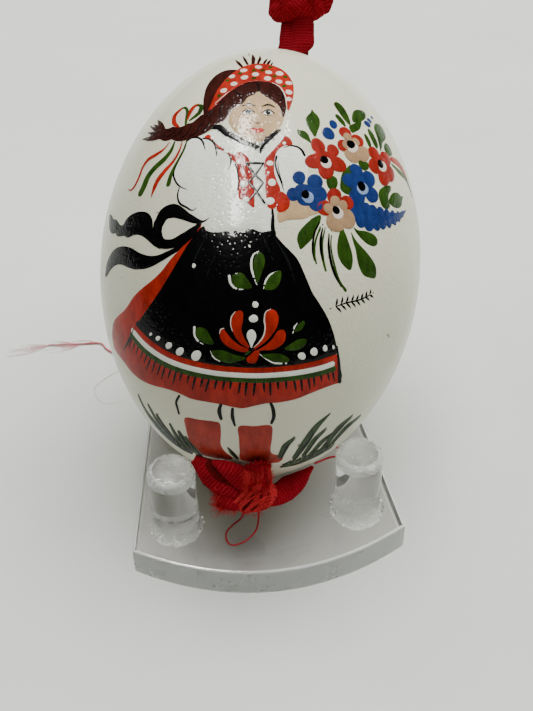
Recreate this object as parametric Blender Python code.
"""Blown goose egg on a red ribbon, leaning back on a clear three-peg stand.

Frame: +Z up, the front of the stand faces -Y, and the origin is the middle of the base plate's underside.
Everything is in metres. The shell is hollow, and its ribbon runs through a hole at each end.
"""
import math

import bmesh
import bpy
from mathutils import Matrix, Vector

# Base plate: a 6 mm acrylic sheet with a bowed front edge and sides that draw in to the back.
PLATE_THICKNESS = 0.006
PLATE_FRONT_WIDTH = 0.047
PLATE_BACK_WIDTH = 0.0315
PLATE_FRONT_CORNER_Y = -0.0291
PLATE_BACK_CORNER_Y = 0.0365
PLATE_FRONT_BOW = 0.007
PLATE_BACK_BOW = 0.002
PLATE_EDGE_BEVEL = 0.0004

# Pegs: 5/16 in rod with a softly domed top and a small cement flare at the foot.
PEG_RADIUS = 0.00397
PEG_WALL_HEIGHT = 0.013
PEG_DOME = 0.0012
PEG_FOOT_FLARE = 0.0004
FRONT_PEG_SPACING = 0.0315
FRONT_PEG_Y = -0.024
BACK_PEG_Y = 0.0294
CEMENT_LINE = 0.0001

# Eggshell: a body of revolution about the line through its two holes.
EGG_RADIUS = 0.0275
EGG_HALF_LENGTH = 0.03765
EGG_TAPER = -0.012
EGG_POINTING = -0.026
SHELL_WALL = 0.0007
HOLE_RADIUS = 0.0037
EGG_CENTRE = Vector((0.00257, 0.00571, 0.03872))
EGG_LEAN_BACK = math.radians(54.0)
EGG_LEAN_SIDE = math.radians(9.5)

# Ribbon: 1/4 in woven ribbon, doubled where it passes the holes.
RIBBON_WIDTH = 0.00635
RIBBON_PACK = 0.0016
RIBBON_LOOP_THICKNESS = 0.0006
THREAD_DIAMETER = 0.00035
CLEARANCE = 0.0003

TOP_KNOT = Vector((0.0140, 0.0435, 0.0673))
TOP_KNOT_RADII = (0.0056, 0.0033, 0.0042)
BOW_KNOT = Vector((-0.0027, -0.0283, 0.0156))
BOW_KNOT_RADII = (0.0036, 0.0027, 0.0027)
BINDING_HALF_WIDTH = 0.0011
BINDING_HALF_TOP = 0.0008
BINDING_HEIGHT = 0.0006
BINDING_STEPS = 28

# The bow's ears and the ribbon's cut end: where each runs, and the way its flat face looks.
EAR_WIDTH = 0.8 * RIBBON_WIDTH
EAR_THICKNESS = 0.0011
LEFT_EAR_ROUTE = ((-0.0068, -0.0278, 0.0186), (-0.0082, -0.0275, 0.0209), (-0.0109, -0.0265, 0.0233))
LEFT_EAR_FACE = Vector((-0.45, -0.80, -0.30))
RIGHT_EAR_ROUTE = ((0.0018, -0.0272, 0.0136), (0.0044, -0.0248, 0.0138), (0.0078, -0.0218, 0.0144))
RIGHT_EAR_FACE = Vector((0.10, -0.62, -0.78))
CUT_END_WIDTH = 0.62 * RIBBON_WIDTH
CUT_END_THICKNESS = 0.0009
CUT_END_ROUTE = ((-0.0068, -0.0290, 0.0150), (-0.0086, -0.0292, 0.0146), (-0.0106, -0.0288, 0.0144))
CUT_END_FACE = Vector((0.0, -1.0, 0.35))

# The hanging loop's free drop below the top knot, and how far apart its two runs open.
LOOP_DROP = 0.058
LOOP_TOP_GAP = 0.0024
LOOP_OPEN_WIDTH = 0.0090

# Route of the binding thread's long tail: behind the right peg, under the egg and out over the table.
THREAD_TAIL_ROUTE = (
    (0.0090, -0.0190, 0.0126),
    (0.0116, -0.0193, 0.0142),
    (0.0136, -0.0192, 0.0140),
    (0.0156, -0.0184, 0.0124),
    (0.0168, -0.0160, 0.0092),
    (0.0162, -0.0122, 0.0067),
    (0.0120, -0.0080, 0.0063),
    (0.0040, -0.0030, 0.0063),
    (-0.0060, 0.0040, 0.0063),
    (-0.0130, 0.0116, 0.0063),
    (-0.0172, 0.0166, 0.0063),
    (-0.0198, 0.0196, 0.0052),
    (-0.0215, 0.0219, 0.0024),
    (-0.0238, 0.0244, 0.0005),
    (-0.0283, 0.0282, 0.0003),
    (-0.0300, 0.0306, 0.0003),
    (-0.0344, 0.0309, 0.0003),
    (-0.0410, 0.0314, 0.0003),
)

# Small thread loop that pokes out under the bow.
THREAD_LOOP_ROUTE = (
    (-0.0044, -0.0296, 0.0122),
    (-0.0060, -0.0302, 0.0118),
    (-0.0076, -0.0312, 0.0112),
    (-0.0076, -0.0326, 0.0102),
    (-0.0061, -0.0334, 0.0096),
    (-0.0040, -0.0328, 0.0100),
    (-0.0022, -0.0314, 0.0110),
    (-0.0018, -0.0300, 0.0120),
)


def clear_scene():
    """Remove every object, so that the file can be run again."""
    for thing in list(bpy.data.objects):
        bpy.data.objects.remove(thing, do_unlink=True)


def make_material(name, colour, roughness, transmission=0.0):
    """Return a plain Principled material."""
    material = bpy.data.materials.new(name)
    material.use_nodes = True
    shader = material.node_tree.nodes["Principled BSDF"]
    shader.inputs["Base Color"].default_value = (*colour, 1.0)
    shader.inputs["Roughness"].default_value = roughness
    shader.inputs["Metallic"].default_value = 0.0
    shader.inputs["Transmission Weight"].default_value = transmission
    material.diffuse_color = (*colour, 1.0)
    return material


def finish_object(name, mesh, material, smooth_angle=40.0):
    """Link a mesh as a named object with its material, shaded smooth over its soft edges."""
    thing = bpy.data.objects.new(name, mesh)
    bpy.context.collection.objects.link(thing)
    mesh.materials.append(material)
    mesh.shade_smooth()
    mesh.set_sharp_from_angle(angle=math.radians(smooth_angle))
    return thing


def mesh_from_bmesh(name, shape):
    """Turn a bmesh into a mesh whose faces all point out."""
    bmesh.ops.recalc_face_normals(shape, faces=shape.faces)
    mesh = bpy.data.meshes.new(name)
    shape.to_mesh(mesh)
    shape.free()
    return mesh


def lathe(name, profile, segments, material, closed_profile=False):
    """Spin a profile of (radius, height) points about Z into one closed body."""
    shape = bmesh.new()
    points = [shape.verts.new((radius, 0.0, height)) for radius, height in profile]
    edges = [shape.edges.new(pair) for pair in zip(points[:-1], points[1:])]
    if closed_profile:
        edges.append(shape.edges.new((points[-1], points[0])))
    bmesh.ops.spin(
        shape,
        geom=points + edges,
        cent=(0.0, 0.0, 0.0),
        axis=(0.0, 0.0, 1.0),
        angle=math.tau,
        steps=segments,
        use_merge=True,
    )
    bmesh.ops.remove_doubles(shape, verts=shape.verts, dist=1e-6)
    return finish_object(name, mesh_from_bmesh(name, shape), material)


def bowed_edge(start, end, bow, steps):
    """Return points along a circular arc from start to end, pushed out by bow to the right of its course."""
    along = end - start
    half = along.length / 2.0
    radius = (half * half + bow * bow) / (2.0 * bow)
    reach = math.asin(half / radius)
    forward = along.normalized()
    outward = Vector((forward.y, -forward.x))
    middle = (start + end) / 2.0 - outward * (radius - bow)
    points = []
    for step in range(steps + 1):
        turn = -reach + 2.0 * reach * step / steps
        points.append(middle + forward * radius * math.sin(turn) + outward * radius * math.cos(turn))
    return points


def make_base_plate(material):
    """Cut the base plate from sheet: bowed front, tapered sides, slightly bowed back."""
    half_front = PLATE_FRONT_WIDTH / 2.0
    half_back = PLATE_BACK_WIDTH / 2.0
    front_left = Vector((-half_front, PLATE_FRONT_CORNER_Y))
    front_right = Vector((half_front, PLATE_FRONT_CORNER_Y))
    back_right = Vector((half_back, PLATE_BACK_CORNER_Y))
    back_left = Vector((-half_back, PLATE_BACK_CORNER_Y))
    outline = bowed_edge(front_left, front_right, PLATE_FRONT_BOW, 24)
    outline += bowed_edge(back_right, back_left, PLATE_BACK_BOW, 10)
    shape = bmesh.new()
    face = shape.faces.new([shape.verts.new((point.x, point.y, 0.0)) for point in outline])
    raised = bmesh.ops.extrude_face_region(shape, geom=[face])
    lifted = [item for item in raised["geom"] if isinstance(item, bmesh.types.BMVert)]
    bmesh.ops.translate(shape, verts=lifted, vec=(0.0, 0.0, PLATE_THICKNESS))
    plate = finish_object("base_plate", mesh_from_bmesh("base_plate", shape), material)
    bevel = plate.modifiers.new("edge_bevel", "BEVEL")
    bevel.width = PLATE_EDGE_BEVEL
    bevel.segments = 2
    bevel.limit_method = "ANGLE"
    bevel.angle_limit = math.radians(40.0)


def peg_profile():
    """Return the peg's (radius, height) profile from the top of its dome to the middle of its foot."""
    dome_radius = (PEG_RADIUS**2 + PEG_DOME**2) / (2.0 * PEG_DOME)
    profile = []
    for step in range(7):
        radius = PEG_RADIUS * step / 6.0
        sink = dome_radius - math.sqrt(dome_radius**2 - radius**2)
        profile.append((radius, PEG_WALL_HEIGHT + PEG_DOME - sink))
    flare_height = 3.0 * PEG_FOOT_FLARE
    profile.append((PEG_RADIUS, flare_height))
    profile.append((PEG_RADIUS + 0.35 * PEG_FOOT_FLARE, 0.35 * flare_height))
    profile.append((PEG_RADIUS + PEG_FOOT_FLARE, 0.0))
    profile.append((0.0, 0.0))
    return profile


def make_pegs(material):
    """Stand the three pegs on the plate."""
    places = {
        "peg_front_left": (-FRONT_PEG_SPACING / 2.0, FRONT_PEG_Y),
        "peg_front_right": (FRONT_PEG_SPACING / 2.0, FRONT_PEG_Y),
        "peg_back": (0.0, BACK_PEG_Y),
    }
    for name, (x, y) in places.items():
        peg = lathe(name, peg_profile(), 32, material)
        peg.location = (x, y, PLATE_THICKNESS + CEMENT_LINE)


def egg_radius_at(along):
    """Return the shell's outer radius at a place along its axis, from -1 at the bottom to 1 at the top."""
    ellipse = EGG_RADIUS * math.sqrt(max(0.0, 1.0 - along * along))
    return ellipse * (1.0 + EGG_TAPER * along + EGG_POINTING * along * along)


def shell_arc(inset, steps):
    """Return the profile from the top hole's edge to the bottom hole's, inset from the outer surface."""
    shrink = 1.0 - inset / EGG_RADIUS
    half_length = EGG_HALF_LENGTH - inset
    edge_turn = math.asin(HOLE_RADIUS / (EGG_RADIUS * shrink))
    profile = []
    for step in range(steps + 1):
        turn = edge_turn + (math.pi - 2.0 * edge_turn) * step / steps
        along = math.cos(turn)
        radius = max(HOLE_RADIUS, egg_radius_at(along) * shrink)
        profile.append((radius, half_length * along))
    profile[0] = (HOLE_RADIUS, profile[0][1])
    profile[-1] = (HOLE_RADIUS, profile[-1][1])
    return profile


def egg_axis():
    """Return the unit vector along the egg's axis, from the bottom hole to the top hole."""
    return Vector(
        (
            math.sin(EGG_LEAN_SIDE),
            math.sin(EGG_LEAN_BACK) * math.cos(EGG_LEAN_SIDE),
            math.cos(EGG_LEAN_BACK) * math.cos(EGG_LEAN_SIDE),
        )
    )


def egg_frame():
    """Return the matrix that stands the shell's own axis (+Z) along the leaning egg axis."""
    up = egg_axis()
    right = (Vector((1.0, 0.0, 0.0)) - up * up.x).normalized()
    forward = up.cross(right)
    turned = Matrix((right, forward, up)).transposed().to_4x4()
    return Matrix.Translation(EGG_CENTRE) @ turned


def make_eggshell(material):
    """Spin the thin shell, open at a hole at each end."""
    outer = shell_arc(0.0, 26)
    inner = shell_arc(SHELL_WALL, 20)
    shell = lathe("eggshell", outer + inner[::-1], 48, material, closed_profile=True)
    shell.matrix_world = egg_frame()


def strip(name, centres, normals, width, thickness, material):
    """Sweep a flat bar with softened edges along its centres; the normals face its flat sides."""
    half_width = width / 2.0
    half_thickness = thickness / 2.0
    edge = half_width - half_thickness
    section = [
        (half_width, 0.0),
        (edge, half_thickness),
        (-edge, half_thickness),
        (-half_width, 0.0),
        (-edge, -half_thickness),
        (edge, -half_thickness),
    ]
    shape = bmesh.new()
    rings = []
    last = len(centres) - 1
    for index, centre in enumerate(centres):
        tangent = (centres[min(index + 1, last)] - centres[max(index - 1, 0)]).normalized()
        side = tangent.cross(normals[index]).normalized()
        face_normal = side.cross(tangent).normalized()
        rings.append([shape.verts.new(centre + side * u + face_normal * v) for u, v in section])
    for first, second in zip(rings[:-1], rings[1:]):
        for index in range(len(section)):
            following = (index + 1) % len(section)
            shape.faces.new((first[index], first[following], second[following], second[index]))
    shape.faces.new(rings[0])
    shape.faces.new(rings[-1])
    return finish_object(name, mesh_from_bmesh(name, shape), material)


def smooth_route(route, count):
    """Return evenly spaced points on a smooth curve through a route's points."""
    points = [Vector(point) for point in route]
    first = 2.0 * points[0] - points[1]
    final = 2.0 * points[-1] - points[-2]
    padded = [first] + points + [final]
    fine = []
    steps = 24
    for index in range(1, len(padded) - 2):
        before, start, end, after = padded[index - 1:index + 3]
        for step in range(steps):
            t = step / steps
            fine.append(
                0.5
                * (
                    2.0 * start
                    + (end - before) * t
                    + (2.0 * before - 5.0 * start + 4.0 * end - after) * t**2
                    + (3.0 * start - before - 3.0 * end + after) * t**3
                )
            )
    fine.append(points[-1])
    lengths = [0.0]
    for start, end in zip(fine[:-1], fine[1:]):
        lengths.append(lengths[-1] + (end - start).length)
    even = []
    cursor = 0
    for index in range(count):
        target = lengths[-1] * index / (count - 1)
        while cursor < len(fine) - 2 and lengths[cursor + 1] < target:
            cursor += 1
        share = (target - lengths[cursor]) / (lengths[cursor + 1] - lengths[cursor])
        even.append(fine[cursor].lerp(fine[cursor + 1], share))
    return even


def thread(name, points, diameter, material):
    """Lay a round thread along its points."""
    curve = bpy.data.curves.new(name, "CURVE")
    curve.dimensions = "3D"
    curve.bevel_depth = diameter / 2.0
    curve.bevel_resolution = 2
    curve.use_fill_caps = True
    spline = curve.splines.new("POLY")
    spline.points.add(len(points) - 1)
    for place, point in zip(spline.points, points):
        place.co = (*point, 1.0)
    curve.materials.append(material)
    thing = bpy.data.objects.new(name, curve)
    bpy.context.collection.objects.link(thing)
    return thing


def lump(name, centre, radii, material):
    """Model a tied knot as a plain rounded lump."""
    shape = bmesh.new()
    bmesh.ops.create_uvsphere(shape, u_segments=20, v_segments=12, radius=1.0)
    bmesh.ops.scale(shape, verts=shape.verts, vec=radii)
    knot = finish_object(name, mesh_from_bmesh(name, shape), material)
    knot.location = centre
    return knot


def lump_edge(centre, radii, toward, gap):
    """Return the point just clear of a lump's surface, in the direction of another point."""
    direction = (toward - centre).normalized()
    spread = math.sqrt(sum((part / radius) ** 2 for part, radius in zip(direction, radii)))
    return centre + direction * (1.0 / spread + gap)


def make_ribbon_core(material):
    """Run the doubled ribbon through the shell, from just inside one hole to just past the other."""
    axis = egg_axis()
    start = EGG_CENTRE - axis * (EGG_HALF_LENGTH - SHELL_WALL)
    end = EGG_CENTRE + axis * (EGG_HALF_LENGTH + CLEARANCE)
    centres = [start.lerp(end, step / 8.0) for step in range(9)]
    normals = [egg_frame().col[1].xyz] * len(centres)
    strip("ribbon_core", centres, normals, RIBBON_WIDTH, RIBBON_PACK, material)


def make_ribbon_neck(material):
    """Bend the ribbon from the top hole over to the knot above it."""
    axis = egg_axis()
    start = EGG_CENTRE + axis * (EGG_HALF_LENGTH + 2.0 * CLEARANCE)
    elbow = start + axis * 0.0025
    end = lump_edge(TOP_KNOT, TOP_KNOT_RADII, start, 5.0 * CLEARANCE)
    centres = smooth_route((start, elbow, end), 9)
    normals = [egg_frame().col[1].xyz] * len(centres)
    strip("ribbon_neck", centres, normals, RIBBON_WIDTH, RIBBON_PACK, material)


def make_thread_binding(material):
    """Wind the binding round the middle of the bow's knot: a band, narrower outside than in."""
    bore = BOW_KNOT_RADII[1] + CLEARANCE
    corners = (
        (-BINDING_HALF_WIDTH, bore),
        (BINDING_HALF_WIDTH, bore),
        (BINDING_HALF_TOP, bore + BINDING_HEIGHT),
        (-BINDING_HALF_TOP, bore + BINDING_HEIGHT),
    )
    shape = bmesh.new()
    rings = []
    for step in range(BINDING_STEPS):
        turn = math.tau * step / BINDING_STEPS
        ring = [(x, lift * math.cos(turn), lift * math.sin(turn)) for x, lift in corners]
        rings.append([shape.verts.new(point) for point in ring])
    for index, ring in enumerate(rings):
        following = rings[(index + 1) % BINDING_STEPS]
        for corner in range(4):
            after = (corner + 1) % 4
            shape.faces.new((ring[corner], ring[after], following[after], following[corner]))
    binding = finish_object("thread_binding", mesh_from_bmesh("thread_binding", shape), material)
    binding.location = BOW_KNOT


def make_bow(ribbon, thread_material):
    """Tie the bow at the bottom hole: knot, binding, two ears, cut end and both loose threads."""
    lump("bow_knot", BOW_KNOT, BOW_KNOT_RADII, ribbon)
    make_thread_binding(thread_material)
    ears = (
        ("bow_ear_left", LEFT_EAR_ROUTE, LEFT_EAR_FACE, EAR_WIDTH, EAR_THICKNESS),
        ("bow_ear_right", RIGHT_EAR_ROUTE, RIGHT_EAR_FACE, EAR_WIDTH, EAR_THICKNESS),
        ("ribbon_cut_end", CUT_END_ROUTE, CUT_END_FACE, CUT_END_WIDTH, CUT_END_THICKNESS),
    )
    for name, route, face, width, thickness in ears:
        centres = smooth_route(route, 7)
        strip(name, centres, [face] * len(centres), width, thickness, ribbon)
    thread("thread_loop", smooth_route(THREAD_LOOP_ROUTE, 22), THREAD_DIAMETER, thread_material)
    thread("thread_tail", smooth_route(THREAD_TAIL_ROUTE, 78), THREAD_DIAMETER, thread_material)


def hanging_loop_route():
    """Return the loop's centre line: down from the knot, round its bottom and up again."""
    top = TOP_KNOT.z - TOP_KNOT_RADII[2] - 0.0008
    bottom = TOP_KNOT.z - LOOP_DROP
    turn_radius = LOOP_OPEN_WIDTH / 2.0
    straight = top - bottom - turn_radius
    half = []
    for step in range(11):
        share = step / 10.0
        spread = LOOP_TOP_GAP / 2.0 + (turn_radius - LOOP_TOP_GAP / 2.0) * math.sin(share * math.pi / 2.0) ** 2
        half.append((spread, top - straight * share))
    for step in range(1, 6):
        turn = step * math.pi / 10.0
        half.append((turn_radius * math.cos(turn), bottom + turn_radius * (1.0 - math.sin(turn))))
    right_side = [Vector((TOP_KNOT.x + x, TOP_KNOT.y, z)) for x, z in half]
    left_side = [Vector((TOP_KNOT.x - x, TOP_KNOT.y, z)) for x, z in half[-2::-1]]
    return right_side + left_side


def make_hanging_loop(material):
    """Hang the ribbon's free loop from the top knot, edge on to the front."""
    centres = hanging_loop_route()
    last = len(centres) - 1
    normals = []
    for index in range(len(centres)):
        tangent = centres[min(index + 1, last)] - centres[max(index - 1, 0)]
        normals.append(tangent.cross(Vector((0.0, 1.0, 0.0))).normalized())
    strip("hanging_loop", centres, normals, RIBBON_WIDTH, RIBBON_LOOP_THICKNESS, material)


def main():
    clear_scene()
    acrylic = make_material("clear_acrylic", (0.88, 0.91, 0.90), 0.06, transmission=0.9)
    eggshell = make_material("painted_eggshell", (0.80, 0.78, 0.70), 0.25)
    ribbon = make_material("red_ribbon", (0.30, 0.008, 0.012), 0.7)
    thread_material = make_material("red_thread", (0.42, 0.02, 0.03), 0.6)
    make_base_plate(acrylic)
    make_pegs(acrylic)
    make_eggshell(eggshell)
    make_ribbon_core(ribbon)
    make_ribbon_neck(ribbon)
    lump("top_knot", TOP_KNOT, TOP_KNOT_RADII, ribbon)
    make_bow(ribbon, thread_material)
    make_hanging_loop(ribbon)


main()
